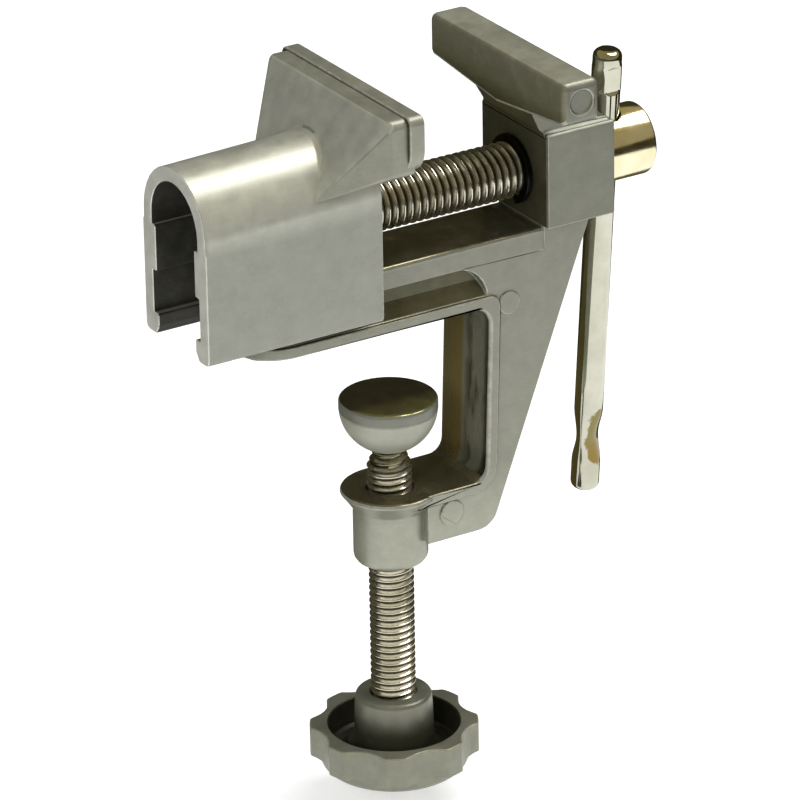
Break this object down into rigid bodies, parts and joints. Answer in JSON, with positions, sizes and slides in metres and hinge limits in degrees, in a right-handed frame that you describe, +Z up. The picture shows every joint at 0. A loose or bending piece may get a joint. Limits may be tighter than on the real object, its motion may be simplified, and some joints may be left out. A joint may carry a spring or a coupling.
{
  "type": "clamp-on mini bench vise",
  "caption": "Small cast vise that clamps to a table edge; a threaded spindle with a sliding cross bar closes its jaw, and a lugged knob screw holds it down.",
  "frame": {"origin": "middle of the beam's flat underside, which rests on the table, straight above the clamp screw's axis", "axes": "+X along the main spindle towards its cross bar, +Z up, +Y to the far side; the jaws face each other along X"},
  "size_m": [0.0943, 0.0428, 0.1316],
  "materials": {
    "cast_metal": "satin",
    "plated_steel": "polished",
    "spring_steel": "matte",
    "pad_metal": "satin",
    "knob_plastic": "satin"
  },
  "bodies": {
    "frame": {"frame_casting": "cast_metal"},
    "jaw": {"moving_jaw": "cast_metal"},
    "spindle": {"main_spindle": "plated_steel", "retaining_ring": "spring_steel"},
    "cross_bar": {"cross_bar": "plated_steel"},
    "pad": {"clamp_pad_face": "pad_metal", "clamp_pad_cup": "pad_metal"},
    "clamp": {"clamp_screw": "plated_steel", "clamp_knob": "knob_plastic"}
  },
  "joints": [
    {"name": "jaw_slide", "type": "slide", "parent": "frame", "child": "jaw", "axis": [1, 0, 0], "range_m": [-0.006, 0.0269]},
    {"name": "spindle_turn", "type": "hinge", "parent": "frame", "child": "spindle", "pos_m": [0.0406, 0, 0.0212], "axis": [1, 0, 0], "range_deg": [-6457, 1441]},
    {"name": "cross_bar_slide", "type": "slide", "parent": "spindle", "child": "cross_bar", "axis": [0, -0.0924, 0.9957], "range_m": [-0.0022, 0.049]},
    {"name": "clamp_slide", "type": "slide", "parent": "frame", "child": "pad", "axis": [0, 0, 1], "range_m": [-0.0067, 0.0151]},
    {"name": "clamp_turn", "type": "hinge", "parent": "pad", "child": "clamp", "pos_m": [0, 0, -0.0221], "axis": [0, 0, 1], "range_deg": [-1931, 4350]}
  ],
  "couplings": [
    {"joint": "spindle_turn", "follows": "jaw_slide", "rad_per_m": -4188.8},
    {"joint": "clamp_turn", "follows": "clamp_slide", "rad_per_m": 5026.5}
  ]
}
